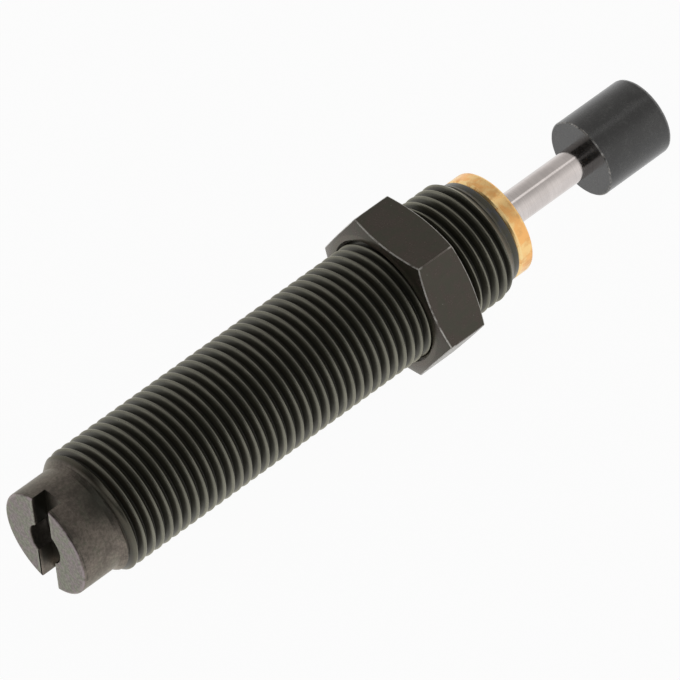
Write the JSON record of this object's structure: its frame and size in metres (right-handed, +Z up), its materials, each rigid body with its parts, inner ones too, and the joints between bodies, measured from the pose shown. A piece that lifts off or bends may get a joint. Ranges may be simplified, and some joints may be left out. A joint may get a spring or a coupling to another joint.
{
  "type": "industrial shock absorber",
  "caption": "Miniature hydraulic shock absorber: threaded body with slotted end and lock nut, brass rod bearing, steel rod with round striking head.",
  "frame": {"origin": "on the rod's axis, in the plane of the lock nut's rear face as it stands on the thread", "axes": "+X along the rod towards the striking head, +Z up, square to a flat of the lock nut"},
  "size_m": [0.0705, 0.0162, 0.014],
  "materials": {
    "black_body": "blackened, satin",
    "black_nut": "blackened, satin",
    "black_head": "blackened, matt",
    "brass": "turned, bright",
    "polished_steel": "ground and polished",
    "turned_steel": "turned",
    "spring_steel": "drawn wire",
    "foam": "fine closed cells",
    "seal_rubber": "moulded, matt"
  },
  "bodies": {
    "body": {"body_tube": "black_body", "fill_seal": "seal_rubber", "fill_plug": "turned_steel", "tube_base": "turned_steel", "pressure_tube": "turned_steel", "rod_guide": "turned_steel", "accumulator_foam": "foam", "seal_washer": "turned_steel", "rod_seal": "seal_rubber", "bearing": "brass", "bearing_o_ring": "seal_rubber", "wiper_ring": "seal_rubber", "return_spring": "spring_steel"},
    "seat": {"spring_seat": "turned_steel"},
    "rod": {"piston_rod": "polished_steel", "piston": "turned_steel", "piston_retainer": "turned_steel", "rod_head": "black_head"},
    "check_ring": {"check_ring": "brass"},
    "lock_nut": {"lock_nut": "black_nut"}
  },
  "joints": [
    {"name": "rod_stroke", "type": "slide", "parent": "body", "child": "seat", "axis": [-1, 0, 0], "range_m": [0, 0.01], "stiffness_N_per_m": 530, "springref_m": -0.007, "deforming": ["return_spring"]},
    {"name": "rod_turn", "type": "hinge", "parent": "seat", "child": "rod", "pos_m": [0, 0, 0], "axis": [1, 0, 0], "continuous": true},
    {"name": "check_ring_shift", "type": "slide", "parent": "rod", "child": "check_ring", "axis": [1, 0, 0], "range_m": [0, 0.00025]},
    {"name": "lock_nut_travel", "type": "slide", "parent": "body", "child": "lock_nut", "axis": [1, 0, 0], "range_m": [-0.0339, 0.0048]}
  ]
}
